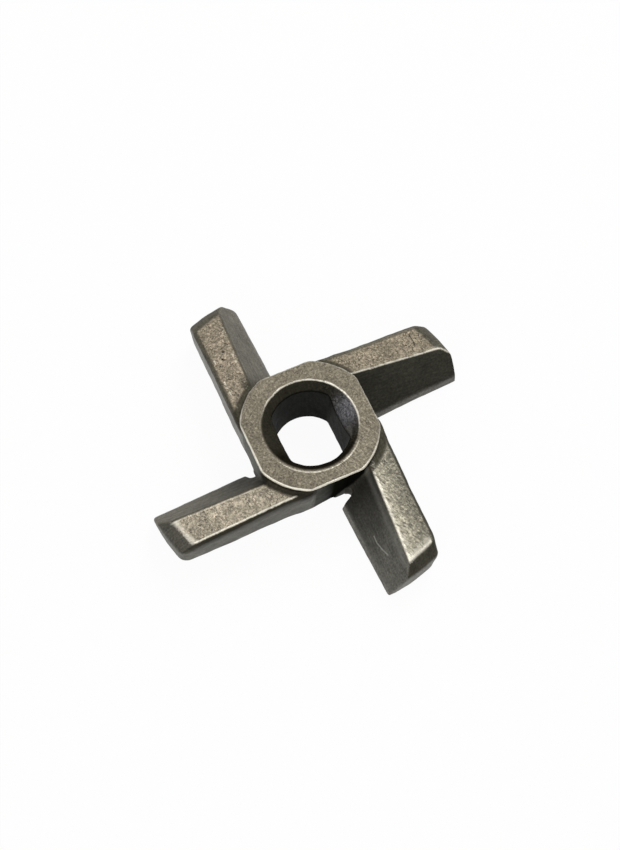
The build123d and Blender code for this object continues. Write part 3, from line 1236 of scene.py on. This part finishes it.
# %% Geometry Nodes for the cast skin
def skin_tree(material):
    """Moves corners along their normals where the mesh is marked as cast."""
    tree = bpy.data.node_groups.new("cast_skin", "GeometryNodeTree")
    sides = tree.interface
    sides.new_socket("Geometry", in_out="OUTPUT", socket_type="NodeSocketGeometry")
    sides.new_socket("Geometry", in_out="INPUT", socket_type="NodeSocketGeometry")
    identifiers = {
        name: sides.new_socket(name, in_out="INPUT", socket_type="NodeSocketFloat").identifier
        for name in ("Skin depth", "Fineness", "Seed")
    }
    entry = add_node(tree, "NodeGroupInput").outputs
    marked = add_node(
        tree, "GeometryNodeInputNamedAttribute", data_type="FLOAT", inputs={0: "cast"}
    )
    noise = add_node(
        tree,
        "ShaderNodeTexNoise",
        noise_dimensions="4D",
        inputs={
            "Vector": add_node(tree, "GeometryNodeInputPosition").outputs[0],
            "W": entry["Seed"],
            "Scale": entry["Fineness"],
            "Detail": 3.0,
        },
    ).outputs[0]
    amount = product(tree, minus(tree, noise, 0.5), marked.outputs[0], entry["Skin depth"])
    offset = add_node(
        tree,
        "ShaderNodeVectorMath",
        operation="SCALE",
        inputs={0: add_node(tree, "GeometryNodeInputNormal").outputs[0], "Scale": amount},
    ).outputs[0]
    moved = add_node(
        tree, "GeometryNodeSetPosition", inputs={"Geometry": entry["Geometry"], "Offset": offset}
    ).outputs[0]
    real = add_node(tree, "GeometryNodeRealizeInstances", inputs={0: moved}).outputs[0]
    painted = add_node(
        tree, "GeometryNodeSetMaterial", inputs={"Geometry": real, "Material": material}
    ).outputs[0]
    add_node(tree, "NodeGroupOutput", inputs={0: painted})
    return tree, identifiers


SKIN_DEPTH = 0.22
SKIN_FINENESS = 520.0
SKIN_SEED = 7.0

knife = bpy.data.objects.new("worn_knife", mesh)
bpy.context.collection.objects.link(knife)
tree, sockets = skin_tree(steel)
skin = knife.modifiers.new("cast skin", "NODES")
skin.node_group = tree
skin[sockets["Skin depth"]] = SKIN_DEPTH * MM
skin[sockets["Fineness"]] = SKIN_FINENESS
skin[sockets["Seed"]] = SKIN_SEED
evaluated = knife.evaluated_get(bpy.context.evaluated_depsgraph_get())
finished = bpy.data.meshes.new_from_object(evaluated)
knife.modifiers.clear()
knife.data = finished
finished.name = "worn_knife"

# The finished surface stays inside the measured box
place = np.empty(len(finished.vertices) * 3, dtype=np.float32)
finished.vertices.foreach_get("co", place)
place = np.clip(place.reshape(-1, 3), np.array(cad_box[0]), np.array(cad_box[1]))
finished.vertices.foreach_set("co", place.astype(np.float32).ravel())
finished.update()
finished.calc_loop_triangles()
print("triangles:", len(finished.loop_triangles))
print("attributes:", [attribute.name for attribute in finished.attributes])

# %% [markdown]
# ## Fixing it to the model
# The knife has no joints, so it rides on the one body, and this mesh stands for its solid.

# %% Ride on the body and replace the solid
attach(knife, "root")
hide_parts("knife")
print("the knife rides on the root body")

# %% [markdown]
# ## Floor
# The knife lies on a white ground. A matt white floor keeps the shadow of the knife, and a glow
# that only the camera and reflections see brings the ground up to white. A brighter lamp would
# do that too, but it would wash out the steel.

# %% Floor
FLOOR_SIZE = 6.0
FLOOR_DROP = 0.0001
FLOOR_GLOW = 0.95
WHITE = (1.0, 1.0, 1.0, 1.0)
MATT_WHITE = (0.86, 0.86, 0.86, 1.0)


def seen_directly(tree):
    """1 for rays that show a surface to the camera, straight or by reflection, 0 for light."""
    ray = add_node(tree, "ShaderNodeLightPath").outputs
    seen = arithmetic(tree, "MAXIMUM", ray["Is Camera Ray"], ray["Is Glossy Ray"])
    return arithmetic(tree, "MAXIMUM", seen, ray["Is Transmission Ray"])


bpy.ops.mesh.primitive_plane_add(size=FLOOR_SIZE, location=(0.0, 0.0, -FLOOR_DROP))
floor = bpy.context.object
floor.name = "floor"
paper = bpy.data.materials.new("white_floor")
paper.use_nodes = True
floor_nodes = paper.node_tree
floor_nodes.nodes.clear()
matt = add_node(floor_nodes, "ShaderNodeBsdfDiffuse", inputs={"Color": MATT_WHITE}).outputs[0]
glow = add_node(
    floor_nodes, "ShaderNodeEmission", inputs={"Color": WHITE, "Strength": 1.0}
).outputs[0]
glow_share = product(floor_nodes, seen_directly(floor_nodes), FLOOR_GLOW)
floor_mix = add_node(
    floor_nodes, "ShaderNodeMixShader", inputs={0: glow_share, 1: matt, 2: glow}
).outputs[0]
add_node(floor_nodes, "ShaderNodeOutputMaterial", inputs={"Surface": floor_mix})
floor.data.materials.append(paper)
print("floor:", FLOOR_SIZE, "m wide")

# %% [markdown]
# ## World and lamps
# The light is soft and comes from all round, so most of it is the world's. One wide lamp behind
# the right gives the tops their sheen, and a small one at the left lifts the edges there.

# %% World and lamps
SKY_STRENGTH = 0.47
LAMPS = (
    ("key_lamp", (0.84, 0.68, 1.0), 0.7, 12.5),
    ("edge_lamp", (-0.9, -0.6, 0.6), 0.4, 4.0),
)
world = bpy.data.worlds.new("studio")
bpy.context.scene.world = world
world.use_nodes = True
world_nodes = world.node_tree
world_nodes.nodes.clear()
sky = add_node(
    world_nodes, "ShaderNodeBackground", inputs={"Color": WHITE, "Strength": SKY_STRENGTH}
).outputs[0]
backdrop = add_node(
    world_nodes, "ShaderNodeBackground", inputs={"Color": WHITE, "Strength": 1.0}
).outputs[0]
world_mix = add_node(
    world_nodes, "ShaderNodeMixShader", inputs={0: seen_directly(world_nodes), 1: sky, 2: backdrop}
).outputs[0]
add_node(world_nodes, "ShaderNodeOutputWorld", inputs={"Surface": world_mix})


def add_lamp(name, place, size, power):
    """A square soft lamp that points at the knife."""
    data = bpy.data.lights.new(name, "AREA")
    data.size = size
    data.energy = power
    lamp = bpy.data.objects.new(name, data)
    bpy.context.collection.objects.link(lamp)
    lamp.location = place
    lamp.rotation_euler = (-Vector(place)).to_track_quat("-Z", "Y").to_euler()
    return lamp


for lamp_settings in LAMPS:
    add_lamp(*lamp_settings)
bpy.context.scene.view_settings.view_transform = "Standard"
print("lamps:", [name for name, place, size, power in LAMPS])
